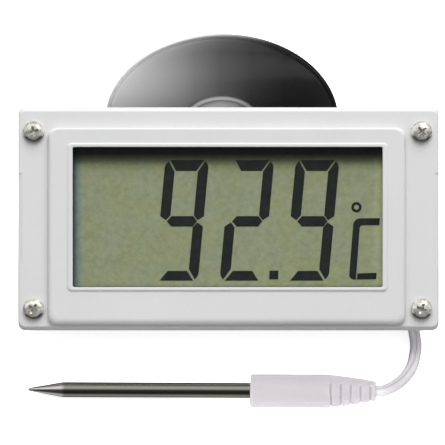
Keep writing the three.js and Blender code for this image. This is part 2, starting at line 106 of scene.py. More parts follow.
# ------------------------------------------------------------------ node helpers
class Shader:
    """A material's node tree with short ways to add what the materials here share."""

    def __init__(self, name):
        self.material = bpy.data.materials.new(name)
        self.material.use_nodes = True
        self.tree = self.material.node_tree
        self.bsdf = self.tree.nodes["Principled BSDF"]
        self.output = self.tree.nodes["Material Output"]
        self.place = self.add("ShaderNodeTexCoord").outputs["Object"]

    def add(self, kind, **values):
        node = self.tree.nodes.new(kind)
        for key, value in values.items():
            setattr(node, key, value)
        return node

    def link(self, source, target):
        self.tree.links.new(source, target)

    def noise(self, scale, detail=3, rough=0.55, place=None):
        node = self.add("ShaderNodeTexNoise")
        node.inputs["Scale"].default_value = scale
        node.inputs["Detail"].default_value = detail
        node.inputs["Roughness"].default_value = rough
        self.link(place or self.place, node.inputs["Vector"])
        return node.outputs["Fac"]

    def stretched(self, scale):
        node = self.add("ShaderNodeMapping")
        node.inputs["Scale"].default_value = scale
        self.link(self.place, node.inputs["Vector"])
        return node.outputs["Vector"]

    def ramp(self, source, stops, target=None):
        node = self.add("ShaderNodeValToRGB")
        elements = node.color_ramp.elements
        while len(elements) < len(stops):
            elements.new(0.5)
        for element, (at, colour) in zip(elements, stops):
            element.position = at
            element.color = (*colour, 1)
        self.link(source, node.inputs["Fac"])
        if target is not None:
            self.link(node.outputs["Color"], target)
        return node.outputs["Color"]

    def remap(self, source, low, high, target=None):
        node = self.add("ShaderNodeMapRange")
        node.inputs["To Min"].default_value = low
        node.inputs["To Max"].default_value = high
        self.link(source, node.inputs["Value"])
        if target is not None:
            self.link(node.outputs["Result"], target)
        return node.outputs["Result"]

    def span(self, source, low, high):
        """How far a value has come from low to high, from 0 to 1."""
        node = self.add("ShaderNodeMapRange")
        node.inputs["From Min"].default_value = low
        node.inputs["From Max"].default_value = high
        self.link(source, node.inputs["Value"])
        return node.outputs["Result"]

    def axes(self):
        """The X, Y and Z of a point of the surface."""
        node = self.add("ShaderNodeSeparateXYZ")
        self.link(self.place, node.inputs["Vector"])
        return node.outputs

    def length(self, source):
        node = self.add("ShaderNodeVectorMath", operation="LENGTH")
        self.link(source, node.inputs[0])
        return node.outputs["Value"]

    def mixed(self, factor, first, second):
        node = self.add("ShaderNodeMix", data_type="RGBA")
        self.link(factor, node.inputs["Factor"])
        self.link(first, node.inputs["A"])
        self.link(second, node.inputs["B"])
        return node.outputs["Result"]

    def product(self, first, second):
        node = self.add("ShaderNodeMix", data_type="RGBA", blend_type="MULTIPLY")
        node.inputs["Factor"].default_value = 1
        self.link(first, node.inputs["A"])
        self.link(second, node.inputs["B"])
        return node.outputs["Result"]

    def streaked(self, streaks, colour, vary, target):
        """A colour that drifts a little either way with the streaks."""
        self.ramp(streaks, [(0.25, shade(colour, 1 - vary)), (0.75, shade(colour, 1 + vary))], target)

    def bump(self, source, strength, distance):
        node = self.add("ShaderNodeBump")
        node.inputs["Strength"].default_value = strength
        node.inputs["Distance"].default_value = distance * MM
        self.link(source, node.inputs["Height"])
        self.link(node.outputs["Normal"], self.bsdf.inputs["Normal"])

    def set(self, **values):
        for key, value in values.items():
            self.bsdf.inputs[key.replace("_", " ")].default_value = value


def shade(colour, factor):
    return tuple(min(1.0, channel * factor) for channel in colour)


def greys(*levels):
    """A ramp's stops in grey, each as (position, level)."""
    return [(at, (level,) * 3) for at, level in levels]


def plastic(name, colour, rough=0.4, grain=900, depth=0.02, vary=0.03, **values):
    """Moulded plastic: a little colour drift, a fine spark-eroded grain and uneven polish."""
    s = Shader(name)
    drift = s.noise(60, 2)
    s.ramp(drift, [(0.3, shade(colour, 1 - vary)), (0.7, shade(colour, 1 + vary))],
           s.bsdf.inputs["Base Color"])
    fine = s.noise(grain, 4, 0.6)
    s.remap(fine, rough - 0.06, rough + 0.06, s.bsdf.inputs["Roughness"])
    s.bump(fine, 0.25, depth)
    s.set(**values)
    return s.material


def metal(name, colour, rough, stretch, vary):
    """Metal with streaks that run along the axis with the smallest scale."""
    s = Shader(name)
    streaks = s.noise(1, 5, 0.6, s.stretched(stretch))
    s.streaked(streaks, colour, vary, s.bsdf.inputs["Base Color"])
    s.remap(streaks, rough * 0.7, rough * 1.3, s.bsdf.inputs["Roughness"])
    s.bump(streaks, 0.08, 0.01)
    s.set(Metallic=1.0)
    return s.material


SHELL = (0.675, 0.675, 0.68)
MATERIALS = {
    "shell": plastic("shell_grey", SHELL, 0.42, 1400, 0.012, 0.012),
    "back_shell": plastic("back_shell_grey", shade(SHELL, 0.97), 0.5, 700, 0.05, 0.02),
    "black": plastic("black_moulding", (0.025, 0.027, 0.028), 0.45, 900, 0.03, 0.15),
    "seal": plastic("seal_rubber", (0.035, 0.035, 0.038), 0.7, 600, 0.05, 0.15),
    "zebra": plastic("zebra_rubber", (0.12, 0.12, 0.12), 0.7, 600, 0.03, 0.1),
    "handle": plastic("handle_white", (0.43, 0.412, 0.43), 0.5, 500, 0.02, 0.012, Subsurface_Weight=1.0,
                      Subsurface_Radius=(1, 1, 1), Subsurface_Scale=3 * MM, Specular_IOR_Level=0.25),
    "cord": plastic("cord_white", (0.39, 0.377, 0.394), 0.5, 700, 0.02, 0.015, Subsurface_Weight=0.6,
                    Subsurface_Radius=(1, 1, 1), Subsurface_Scale=1.5 * MM, Specular_IOR_Level=0.25),
    "red": plastic("lead_red", (0.45, 0.02, 0.015), 0.4),
    "lead_black": plastic("lead_black", (0.015, 0.015, 0.015), 0.4),
    "ceramic": plastic("ceramic_tan", (0.50, 0.38, 0.22), 0.55, 300, 0.05, 0.08),
    "steel": metal("nickel_steel", (0.70, 0.69, 0.66), 0.22, (300, 300, 300), 0.06),
    # a dark copy of the screw metal, put on the heads' lower sides as painted shade
    "screw_shade_painted": metal("screw_painted_underside_shade", (0.16, 0.155, 0.14), 0.3, (600, 600, 600), 0.15),
}


def probe_material():
    """Drawn stainless tube, and ground steel on its point, whose brighter colour is partly a painted
    reflection.
    """
    s = Shader("probe_stainless")
    streaks = s.noise(1, 5, 0.6, s.stretched((25, 1500, 1500)))
    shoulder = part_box("probe_tube")[0].x + CONE * MM
    mix = s.add("ShaderNodeMix", data_type="RGBA")
    s.link(s.span(s.axes()["X"], shoulder - 0.4 * MM, shoulder + 0.6 * MM), mix.inputs["Factor"])
    # the point's colour, brighter than the tube's, is partly a painted reflection
    s.streaked(streaks, (0.80, 0.79, 0.75), 0.05, mix.inputs["A"])
    s.streaked(streaks, (0.385, 0.378, 0.32), 0.05, mix.inputs["B"])
    s.link(mix.outputs["Result"], s.bsdf.inputs["Base Color"])
    s.remap(streaks, 0.084, 0.156, s.bsdf.inputs["Roughness"])
    s.bump(streaks, 0.08, 0.01)
    s.set(Metallic=1.0)
    return s.material


def screw_material():
    """Bright nickel plate, dented by the driver and mottled with handling."""
    s = Shader("screw_nickel")
    mottle = s.noise(900, 3, 0.6)
    s.ramp(mottle, [(0.38, (0.55, 0.54, 0.46)), (0.62, (0.98, 0.97, 0.92))],
           s.bsdf.inputs["Base Color"])
    s.remap(mottle, 0.16, 0.28, s.bsdf.inputs["Roughness"])
    s.bump(s.noise(900, 2, 0.5), 1.0, 0.25)
    s.set(Metallic=0.65)
    return s.material


def board_material():
    """Green solder mask over a faint grid of tracks."""
    s = Shader("solder_mask")
    tracks = s.add("ShaderNodeTexBrick")
    tracks.inputs["Scale"].default_value = 160
    tracks.inputs["Mortar Size"].default_value = 0.03
    tracks.inputs["Color1"].default_value = (0.012, 0.10, 0.035, 1)
    tracks.inputs["Color2"].default_value = (0.015, 0.12, 0.04, 1)
    tracks.inputs["Mortar"].default_value = (0.03, 0.2, 0.07, 1)
    s.link(s.place, tracks.inputs["Vector"])
    s.link(tracks.outputs["Color"], s.bsdf.inputs["Base Color"])
    s.remap(s.noise(400), 0.25, 0.4, s.bsdf.inputs["Roughness"])
    s.bump(tracks.outputs["Fac"], 0.2, 0.03)
    return s.material


def battery_material():
    """A plain wrapped cell: a copper-coloured band at the plus end and a dark sleeve."""
    s = Shader("battery_sleeve")
    low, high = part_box("battery_cell")
    s.ramp(
        s.span(s.axes()["X"], low.x, high.x),
        [(0.0, (0.6, 0.6, 0.6)), (0.03, (0.02, 0.045, 0.12)), (0.70, (0.02, 0.05, 0.14)),
         (0.72, (0.55, 0.25, 0.1)), (0.96, (0.6, 0.3, 0.12)), (0.975, (0.6, 0.6, 0.6))],
        s.bsdf.inputs["Base Color"],
    )
    s.remap(s.noise(300), 0.18, 0.3, s.bsdf.inputs["Roughness"])
    return s.material


def display_material():
    """Polarised display glass: mottled olive, with painted shadow along the window's top, left and bottom
    edges, tinted on the left, and a painted highlight along its right edge.
    """
    s = Shader("display_olive")
    olive = s.ramp(s.noise(600, 4, 0.7), [(0.3, (0.222, 0.25, 0.144)), (0.7, (0.298, 0.325, 0.204))])
    tint = s.ramp(s.noise(160, 3), [(0.35, (1.02, 1.0, 0.92)), (0.65, (0.97, 1.0, 1.08))])
    colour = s.product(olive, tint)
    for axis, edge, stops in DISPLAY_EDGE_PAINTED_LIGHT:
        line = s.add("ShaderNodeVectorMath", operation="DOT_PRODUCT")
        line.inputs[1].default_value = axis
        s.link(s.place, line.inputs[0])
        inward = s.span(line.outputs["Value"], edge, edge + SHADE_REACH * MM)
        colour = s.product(colour, s.ramp(inward, stops))
    s.link(colour, s.bsdf.inputs["Base Color"])
    s.set(Roughness=0.35, Specular_IOR_Level=0.2)
    return s.material


# The window's opening in the display's axes, and the painted light along each of its edges going inward:
# painted shadow at the top, left and bottom, and a painted highlight at the right. Each entry gives the axis
# to measure along, where the edge is on it, and the ramp from there.
WINDOW_HALF_U, WINDOW_HALF_V = 42.35, 19.175
SHADE_REACH = 7


def window_edge(axis, u, v):
    """How far a point on the window's edge lies along an axis."""
    return case_point(u, v, 0).dot(axis)


# painted shadow at the window's top, left and bottom edges, and a painted highlight at its right edge
DISPLAY_EDGE_PAINTED_LIGHT = [
    (-UP, window_edge(-UP, 0, WINDOW_V + WINDOW_HALF_V),
     [(0.0, (0.035, 0.035, 0.04)), (0.26, (0.045, 0.045, 0.055)), (0.36, (0.14, 0.14, 0.13)),
      (0.52, (0.30, 0.31, 0.28)), (0.72, (0.75, 0.78, 0.66)), (0.95, (1, 1, 1))]),
    (ACROSS, window_edge(ACROSS, -WINDOW_HALF_U, 0),
     [(0.0, (0.12, 0.16, 0.25)), (0.08, (0.42, 0.56, 0.85)), (0.2, (0.72, 0.84, 1.15)),
      (0.34, (0.95, 1.0, 1.1)), (0.5, (1, 1, 1))]),
    (-ACROSS, window_edge(-ACROSS, WINDOW_HALF_U, 0),
     greys((0.0, 1.7), (0.12, 1.5), (0.4, 1.08), (0.7, 1))),
    (UP, window_edge(UP, 0, WINDOW_V - WINDOW_HALF_V),
     [(0.0, (0.55, 0.55, 0.55)), (0.03, (0.80, 0.80, 0.82)), (0.07, (0.97, 0.97, 0.97)), (0.1, (1, 1, 1))]),
]


def lens_material():
    """Clear acrylic: what lies behind shows, with a faint surface gloss."""
    s = Shader("clear_acrylic")
    clear = s.add("ShaderNodeBsdfTransparent")
    gloss = s.add("ShaderNodeBsdfGlossy")
    gloss.inputs["Roughness"].default_value = 0.05
    slope = s.add("ShaderNodeLayerWeight")
    mixed = s.add("ShaderNodeMixShader")
    sheen = s.ramp(slope.outputs["Facing"], greys((0, 0.015), (0.4, 0.02), (0.75, 0.12), (1, 0.7)))
    s.link(sheen, mixed.inputs["Fac"])
    s.link(clear.outputs["BSDF"], mixed.inputs[1])
    s.link(gloss.outputs["BSDF"], mixed.inputs[2])
    s.link(mixed.outputs["Shader"], s.output.inputs["Surface"])
    return s.material


# The cup's zones, as radii and as depths in front of its lip.
LIP_FROM, LIP_TO = 28, 33.2
RING_FROM, RING_TO = 8.5, 11.3
HUB_RADIUS = 11.4
SKIN_DEPTH = 1.3


def cup_material():
    """Smoky vinyl with painted light: its colour runs from light on one side to near black on the other, as
    if lit from that side, with a painted highlight on the lip of the lit side, and a pale hub painted lighter
    on the same side with painted shade in its ring's grooves.
    """
    s = Shader("smoky_vinyl")
    axes = s.axes()
    along = s.span(axes["X"], CUP_LOW.x, CUP_HIGH.x)
    from_axis = s.add("ShaderNodeVectorMath", operation="SUBTRACT")
    from_axis.inputs[1].default_value = CUP_AXIS
    s.link(s.place, from_axis.inputs[0])
    flat = s.add("ShaderNodeVectorMath", operation="MULTIPLY")
    flat.inputs[1].default_value = (1, 0, 1)
    s.link(from_axis.outputs["Vector"], flat.inputs[0])
    radius = s.length(flat.outputs["Vector"])

    # painted light: the colour fades from light on one side to near black on the other, as if lit from that
    # side
    painted_side_light = s.ramp(along, greys((0.0, 1.0), (0.06, 0.98), (0.14, 0.84), (0.2, 0.72), (0.3, 0.52), (0.39, 0.31),
                               (0.49, 0.15), (0.62, 0.056), (0.76, 0.018), (0.9, 0.008), (1.0, 0.004)))
    # a painted highlight along the lip, mixed towards white on the lit side only
    lip_painted_highlight = s.ramp(s.span(radius, LIP_FROM * MM, LIP_TO * MM),
                      greys((0, 0), (0.5, 0.12), (0.8, 0.4), (1, 0.9)))
    lip_side = s.ramp(along, greys((0.0, 1), (0.25, 0.9), (0.5, 0.35), (0.7, 0)))
    lit = s.add("ShaderNodeMix", data_type="RGBA")
    s.link(s.product(lip_painted_highlight, lip_side), lit.inputs["Factor"])
    s.link(painted_side_light, lit.inputs["A"])
    lit.inputs["B"].default_value = (1, 1, 1, 1)

    # the hub is painted lighter on the lit side, and its ring's dark lines are painted shade in its grooves
    hub = s.ramp(along, greys((0.3, 0.95), (0.5, 0.8), (0.7, 0.45)))
    ring_shade = s.ramp(s.span(radius, RING_FROM * MM, RING_TO * MM),
                        greys((0, 1), (0.2, 0.85), (0.4, 0.7), (0.5, 0.42), (0.6, 0.42), (0.7, 0.8),
                              (0.9, 0.8), (1, 0.5)))
    within = s.span(radius, (HUB_RADIUS + 0.2) * MM, (HUB_RADIUS - 0.2) * MM)
    in_front = s.span(axes["Y"], CUP_HIGH.y - (SKIN_DEPTH - 0.1) * MM, CUP_HIGH.y - (SKIN_DEPTH + 0.1) * MM)
    on_hub = s.add("ShaderNodeMath", operation="MULTIPLY")
    s.link(within, on_hub.inputs[0])
    s.link(in_front, on_hub.inputs[1])
    s.link(s.mixed(on_hub.outputs["Value"], lit.outputs["Result"], s.product(hub, ring_shade)),
           s.bsdf.inputs["Base Color"])
    s.remap(s.noise(200), 0.2, 0.3, s.bsdf.inputs["Roughness"])
    return s.material


def digit_material():
    s = Shader("display_segment")
    s.ramp(s.noise(500), [(0.3, (0.0135, 0.0175, 0.0155)), (0.7, (0.020, 0.024, 0.022))],
           s.bsdf.inputs["Base Color"])
    s.set(Roughness=0.5, Specular_IOR_Level=0.1)
    return s.material


MATERIALS.update(
    screw=screw_material(), probe=probe_material(), board=board_material(), battery=battery_material(),
    display=display_material(), lens=lens_material(), cup=cup_material(), segment=digit_material(),
)


# ------------------------------------------------------------------ mesh helpers
def finished(name, mesh, material, sharp):
    """An object of a mesh in the frame's axes, smooth but for edges sharper than so many degrees."""
    mesh.materials.clear()
    mesh.materials.append(MATERIALS[material])
    mesh.shade_smooth()
    mesh.set_sharp_from_angle(angle=math.radians(sharp))
    obj = bpy.data.objects.new(name, mesh)
    bpy.context.scene.collection.objects.link(obj)
    return obj


def stands_for(obj, body, *replaced, slot):
    """Puts an object on a body in place of any CAD pieces named. Its material slot is not used."""
    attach(obj, body)
    if replaced:
        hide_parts(*replaced)
    return obj


def to_mesh(bm, name, matrix=None):
    """A mesh of what was drawn, with its faces turned outward."""
    if matrix is not None:
        bm.transform(matrix)
    bmesh.ops.recalc_face_normals(bm, faces=bm.faces[:])
    mesh = bpy.data.meshes.new(name)
    bm.to_mesh(mesh)
    bm.free()
    return mesh


def baked(obj):
    """Applies an object's modifiers to its mesh."""
    bpy.context.view_layer.update()
    evaluated = obj.evaluated_get(bpy.context.evaluated_depsgraph_get())
    mesh = bpy.data.meshes.new_from_object(evaluated)
    old = obj.data
    obj.modifiers.clear()
    obj.data = mesh
    bpy.data.meshes.remove(old)


def softened(node, body, width, segments):
    """A moulded CAD piece with its edges rounded."""
    sharp = 40
    bm = bmesh.new()
    bm.from_mesh(nodes[node].data)
    bmesh.ops.remove_doubles(bm, verts=bm.verts[:], dist=1e-6)
    bmesh.ops.dissolve_limit(bm, angle_limit=math.radians(0.5), verts=bm.verts[:], edges=bm.edges[:])
    obj = finished(f"{node}_shaped", to_mesh(bm, f"{node}_shaped"), "back_shell", sharp)
    bevel = obj.modifiers.new("edges", "BEVEL")
    bevel.width = width * MM
    bevel.segments = segments
    bevel.limit_method = "ANGLE"
    bevel.angle_limit = math.radians(30)
    bevel.use_clamp_overlap = True
    bevel.harden_normals = False
    baked(obj)
    obj.data.shade_smooth()
    obj.data.set_sharp_from_angle(angle=math.radians(sharp))
    return stands_for(obj, body, node, slot="shell")


def turned(profile, sides):
    """A bmesh of a profile of (radius, height) turned about +X, heights along X."""
    bm = bmesh.new()
    rings = []
    for radius, height in profile:
        if radius <= 1e-6:
            rings.append([bm.verts.new((height * MM, 0, 0))])
            continue
        angles = [2 * math.pi * i / sides for i in range(sides)]
        rings.append([bm.verts.new((height * MM, radius * MM * math.cos(a), radius * MM * math.sin(a)))
                      for a in angles])
    skin(bm, rings)
    return bm


def skin(bm, rings):
    """Faces between rings of equal length, and fans where a ring is one point."""
    for near, far in zip(rings, rings[1:]):
        if len(near) == 1 and len(far) == 1:
            continue
        count = max(len(near), len(far))
        for i in range(count):
            j = (i + 1) % count
            if len(near) == 1:
                bm.faces.new((near[0], far[i], far[j]))
            elif len(far) == 1:
                bm.faces.new((near[i], far[0], near[j]))
            else:
                bm.faces.new((near[i], far[i], far[j], near[j]))


def rounded_loop(bm, left, right, bottom, top, corner, w, steps=6):
    """One ring of points round a rounded rectangle at depth w, corner by corner."""
    ring = []
    for cx, cy, start in (
        (right - corner, top - corner, 0), (left + corner, top - corner, 90),
        (left + corner, bottom + corner, 180), (right - corner, bottom + corner, 270),
    ):
        for i in range(steps + 1):
            angle = math.radians(start + 90 * i / steps)
            x, y = cx + corner * math.cos(angle), cy + corner * math.sin(angle)
            ring.append(bm.verts.new((x * MM, y * MM, w * MM)))
    return ring


def cut_with(obj, cutters):
    """Cuts solids out of an object and removes them."""
    for cutter in cutters:
        modifier = obj.modifiers.new("cut", "BOOLEAN")
        modifier.operation = "DIFFERENCE"
        modifier.solver = "EXACT"
        modifier.object = cutter
    baked(obj)
    for cutter in cutters:
        bpy.data.objects.remove(cutter)


def loose(name, bm, matrix=None):
    """A working object that ends up cut out of another, or joined to it."""
    obj = bpy.data.objects.new(name, to_mesh(bm, name, matrix))
    bpy.context.scene.collection.objects.link(obj)
    return obj


# ------------------------------------------------------------------ front bezel
PLATE_U, PLATE_V, PLATE_THICK, PLATE_CORNER = 57.7, 30.6, 3.0, 1.9  # half width, half height
PLATE_X = 0.25  # the plate's middle is this far right of the window's
TOP_CHAMFER, SIDE_CHAMFER, CHAMFER_DROP = 1.1, 0.35, 1.3
PLATFORM_LEFT, PLATFORM_RIGHT, PLATFORM_BOTTOM, PLATFORM_TOP = -49.2, 48.7, -29.0, 24.7
PLATFORM_RISE, PLATFORM_ROUND = 2.0, 1.3
TOP_EASE, BOTTOM_EASE = 0.2, 1.3  # the platform's edge is rounded less at its top and more at its bottom
SCREW_U, SCREW_TOP, SCREW_BOTTOM = 53.1, 23.9, -24.6
SCREW_HOLE = 1.75
RIM_WIDTH, RIM_RISE = 1.45, 0.3  # the raised line round the window
RIM_SQUASH = 0.72  # it is narrower along the top and bottom
REBATE_GROW, REBATE_DEPTH = 1.95, 0.9  # the recess behind the window that the lens sits in
RELIEF_WIDTH, RELIEF_DEPTH, RELIEF_HALF = 1.4, 0.4, 12.5


def bezel_rings(bm):
    """Rings from the lens's rebate, out through the window, over the front and round to the back."""
    top, bottom = WINDOW_V + WINDOW_HALF_V, WINDOW_V - WINDOW_HALF_V

    def window(grow, corner, w):
        up = grow if grow == REBATE_GROW else grow * RIM_SQUASH
        return rounded_loop(bm, -WINDOW_HALF_U - grow, WINDOW_HALF_U + grow, bottom - up, top + up, corner, w)

    def platform(grow, corner, w):
        top_grow = grow * TOP_EASE if grow < 0 else grow
        return rounded_loop(bm, PLATFORM_LEFT - grow, PLATFORM_RIGHT + grow,
                            PLATFORM_BOTTOM - grow * BOTTOM_EASE, PLATFORM_TOP + top_grow, corner, w)

    def plate(inset, w):
        """The plate's outline; an inset of 1 is the whole chamfer, which is widest at the top and bottom."""
        across, up = inset * SIDE_CHAMFER, inset * TOP_CHAMFER
        return rounded_loop(bm, PLATE_X + across - PLATE_U, PLATE_X + PLATE_U - across, up - PLATE_V,
                            PLATE_V - up, PLATE_CORNER - 0.6 * across, w)

    rings = [window(REBATE_GROW, 0.8, -PLATE_THICK), window(REBATE_GROW, 0.8, REBATE_DEPTH),
             window(0, 0.5, REBATE_DEPTH), window(0, 0.5, REBATE_DEPTH + 0.05)]
    rise = PLATFORM_RISE
    crest = rise + RIM_RISE
    rings += [window(0, 0.5, crest - 0.15), window(0.05, 0.5, crest - 0.04), window(0.15, 0.6, crest),
              window(RIM_WIDTH - 0.35, 1.0, crest), window(RIM_WIDTH - 0.2, 1.1, crest - 0.06),
              window(RIM_WIDTH - 0.05, 1.2, rise + 0.06), window(RIM_WIDTH + 0.1, 1.3, rise),
              window(RIM_WIDTH + 0.3, 1.4, rise)]
    rings += [platform(-PLATFORM_ROUND - 0.4, 1.4, rise)]
    for i in range(7):
        angle = math.radians(90 * i / 6)
        rings.append(platform(-PLATFORM_ROUND * (1 - math.sin(angle)), 2.0 + 0.5 * math.sin(angle),
                              rise - PLATFORM_ROUND * (1 - math.cos(angle))))
    rings += [platform(0, 2.5, 0.2), platform(0.06, 2.55, 0.06), platform(0.2, 2.6, 0), platform(0.3, 2.7, 0)]
    return rings + edge_rings(plate)


def edge_rings(plate):
    """The plate's own edge: a chamfer with eased arrises, the side and the back."""
    return [
        plate(1.15, 0), plate(1.04, 0), plate(0.94, -0.05), plate(0.08, -CHAMFER_DROP + 0.05),
        plate(0, -CHAMFER_DROP - 0.1), plate(0, 0.25 - PLATE_THICK), plate(0.25, -PLATE_THICK),
    ]


def finger_relief(side):
    """A cutter for the shallow slope along the plate's side edge, where the case is gripped."""
    bm = bmesh.new()
    edge = PLATE_X + side * PLATE_U
    slope = [(edge - side * RELIEF_WIDTH, 0.5), (edge + side, 0.5), (edge + side, -RELIEF_DEPTH * 1.7),
             (edge - side * 0.8 * RELIEF_WIDTH, -0.1)]
    near, far = ([bm.verts.new((u * MM, v * MM, w * MM)) for u, w in slope]
                 for v in (-RELIEF_HALF, RELIEF_HALF))
    skin(bm, [near, far])
    bm.faces.new(near)
    bm.faces.new(list(reversed(far)))
    return loose("cutter", bm, CASE_MATRIX)


def screw_matrix(u, v):
    """Stands a turned piece on the plate at (u, v), its own X axis out of the plate."""
    return (CASE_MATRIX @ Matrix.Translation(Vector((u, v, 0)) * MM)
            @ Matrix.Rotation(-math.pi / 2, 4, "Y"))


def front_bezel():
    sharp = 32
    bm = bmesh.new()
    rings = bezel_rings(bm)
    skin(bm, rings + [rings[0]])
    obj = finished("bezel_moulding", to_mesh(bm, "bezel_moulding", CASE_MATRIX), "shell", sharp)
    cutters = []
    for u in (-SCREW_U, SCREW_U):
        for v in (SCREW_TOP, SCREW_BOTTOM):
            hole = turned([(0, -4), (SCREW_HOLE, -4), (SCREW_HOLE, 0.5), (0, 0.5)], 24)
            cutters.append(loose("cutter", hole, screw_matrix(u, v)))
    cutters += [finger_relief(side) for side in (-1, 1)]
    cut_with(obj, cutters)
    obj.data.shade_smooth()
    obj.data.set_sharp_from_angle(angle=math.radians(sharp))
    return stands_for(obj, "case", "front_bezel", slot="shell")


# ------------------------------------------------------------------ display segments
DIGIT_WIDTH, DIGIT_HEIGHT, DIGIT_PITCH = 11.97, 33.07, 17.89
DIGIT_LEFT, DIGIT_BASE = -20.10, -16.93
SLANT = 0.092
BAR = 2.79  # a segment's width
MIDDLE = 16.26  # the middle bar's height above the base
SEGMENT_W, SEGMENT_THICK = -0.97, 0.05
DEGREE_U, DEGREE_V, DEGREE_OUTER, DEGREE_INNER = 35.35, 3.2, 1.42, 0.68


def corner_arc(cx, cy, across, up, angles):
    """Points on an ellipse's corner, at angles in degrees."""
    return [(cx + across * math.cos(math.radians(a)), cy + up * math.sin(math.radians(a))) for a in angles]


def segment_outlines():
    """The seven segments' outlines before slanting, each as points round it."""
    width, height, bar, mid = DIGIT_WIDTH, DIGIT_HEIGHT, BAR, MIDDLE
    a = [(1.34, height), (width - 1.34, height), (width - 3.18, height - 3.0), (3.18, height - 3.0)]
    d = [(1.44, 0), (width - 1.34, 0), (width - 3.25, 2.66), (3.4, 2.66)]
    g = [(1.92, mid), (3.12, mid + 1.42), (width - 2.9, mid + 1.42), (width - 1.75, mid),
         (width - 2.75, mid - 1.42), (3.3, mid - 1.42)]
    f = corner_arc(2.35, height - 2.3, 2.35, 2.35, (180, 172, 164, 156, 148, 140)) + [
        (0.95, height - 0.32), (2.66, height - 2.98), (bar, height - 3.2), (bar, mid + 1.65),
        (1.67, mid + 0.32), (0, mid + 1.4)]
    e = [(x, 2 * mid - y) if y < mid + 3 else (x, height - y) for x, y in f]
    mirrored = {name: [(width - x, y) for x, y in shape] for name, shape in {"b": f, "c": e}.items()}
    return {"a": a, "d": d, "g": g, "f": f, "e": e, **mirrored}


DIGITS = {"9": "abcdfg", "2": "abdeg"}


def segments(name, outlines):
    """Flat outlines in the display's axes, given a thickness."""
    low, high = SEGMENT_W, SEGMENT_W + SEGMENT_THICK
    bm = bmesh.new()
    for outline in outlines:
        front = [bm.verts.new((u * MM, v * MM, high * MM)) for u, v in outline]
        back = [bm.verts.new((u * MM, v * MM, low * MM)) for u, v in outline]
        bm.faces.new(front)
        bm.faces.new(list(reversed(back)))
        for i in range(len(outline)):
            j = (i + 1) % len(outline)
            bm.faces.new((front[i], back[i], back[j], front[j]))
    obj = finished(name, to_mesh(bm, name, CASE_MATRIX), "segment", 30)
    stands_for(obj, "case", slot="black_plastic")


def slanted(outline, left, base):
    return [(left + x + y * SLANT, base + y) for x, y in outline]


def display_reading():
    shapes = segment_outlines()
    for place, digit in enumerate("929"):
        left = DIGIT_LEFT + place * DIGIT_PITCH
        segments(f"digit_{place + 1}", [slanted(shapes[s], left, DIGIT_BASE) for s in DIGITS[digit]])
    segments("decimal_point", [[(11.4, -16.6), (13.85, -16.6), (13.95, -14.2), (11.5, -14.2)]])
    degree_ring()
    celsius_mark()


def degree_ring():
    bm = bmesh.new()
    rings = []
    low, high = SEGMENT_W, SEGMENT_W + SEGMENT_THICK
    angles = [2 * math.pi * i / 32 for i in range(32)]
    for radius, w in ((DEGREE_INNER, low), (DEGREE_INNER, high), (DEGREE_OUTER, high), (DEGREE_OUTER, low)):
        around = [(DEGREE_U + radius * math.cos(a), DEGREE_V + radius * math.sin(a)) for a in angles]
        rings.append([bm.verts.new((u * MM, v * MM, w * MM)) for u, v in around])
    skin(bm, rings + [rings[0]])
    obj = finished("degree_ring", to_mesh(bm, "degree_ring", CASE_MATRIX), "segment", 30)
    stands_for(obj, "case", slot="black_plastic")


def celsius_mark():
    """The unit letter: one stroke for its stem and head, and a loose bar for its foot."""
    upper = [(33.35, -15.4), (34.45, -1.6)] + corner_arc(36.2, -1.75, 1.75, 1.85, (170, 150, 130, 110)) + [
        (36.2, 0.15), (41.75, 0.2), (41.6, -1.72), (37.0, -1.75), (36.45, -1.95), (36.25, -2.4),
        (35.2, -16.65), (34.6, -16.65), (33.9, -16.4), (33.45, -15.95)]
    foot = [(35.45, -16.62), (40.75, -16.55), (40.9, -14.8), (35.6, -14.95)]
    segments("celsius_mark", [upper, foot])


# ------------------------------------------------------------------ corner screws
UNDERSIDE_FROM = 2.1  # the painted shade on a head's lower side starts this far from its axis
SCREW_TURNS = {"upper_left": 12, "upper_right": 40, "lower_left": 58, "lower_right": -20}  # degrees


def cross_recess():
    """Cutters for the two tapering slots of a cross recess."""
    cutters = []
    for turn in (0, 90):
        bm = bmesh.new()
        points = []
        for x, reach, half in ((0.55, 0.9, 0.22), (2.4, 1.75, 0.42)):
            points += [bm.verts.new((x * MM, y * MM, z * MM)) for y, z in
                       ((-reach, -half), (reach, -half), (reach, half), (-reach, half))]
        bmesh.ops.convex_hull(bm, input=points)
        cutters.append(loose("cutter", bm, Matrix.Rotation(math.radians(turn), 4, "X")))
    return cutters


def screw_mesh(name, matrix):
    """A pan head with a cross recess, and its shank, heights along its own X. Its lower side gets a dark
    metal, as painted shade.
    """
    dome = [(0, 0.02), (2.8, 0.02), (2.9, 0.1), (2.92, 0.6), (2.84, 0.95), (2.62, 1.28), (2.25, 1.56),
            (1.7, 1.8), (1.0, 1.94), (0.4, 1.99), (0, 2.0)]
    shank = [(0, -9.9), (1.0, -9.9), (1.45, -9.3), (1.45, -0.2), (0, -0.2)]
    head = loose(name, turned(dome, 48))
    body = loose("shank", turned(shank, 20))
    cut_with(head, cross_recess())
    bm = bmesh.new()
    bm.from_mesh(head.data)
    bm.from_mesh(body.data)
    for spare in (head, body):
        bpy.data.objects.remove(spare)
    turning = (CASE_MATRIX.inverted() @ matrix).to_3x3()
    # faces on a head's lower side, facing down the plate, take the dark metal: painted shade
    dark = []
    for face in bm.faces:
        at = face.calc_center_median()
        dark.append((turning @ face.normal).y < -0.35 and at.x > 0 and at.yz.length > UNDERSIDE_FROM * MM)
    obj = finished(name, to_mesh(bm, name, matrix), "screw", 38)
    obj.data.materials.append(MATERIALS["screw_shade_painted"])
    for face, is_dark in zip(obj.data.polygons, dark):
        face.material_index = int(is_dark)
    return obj


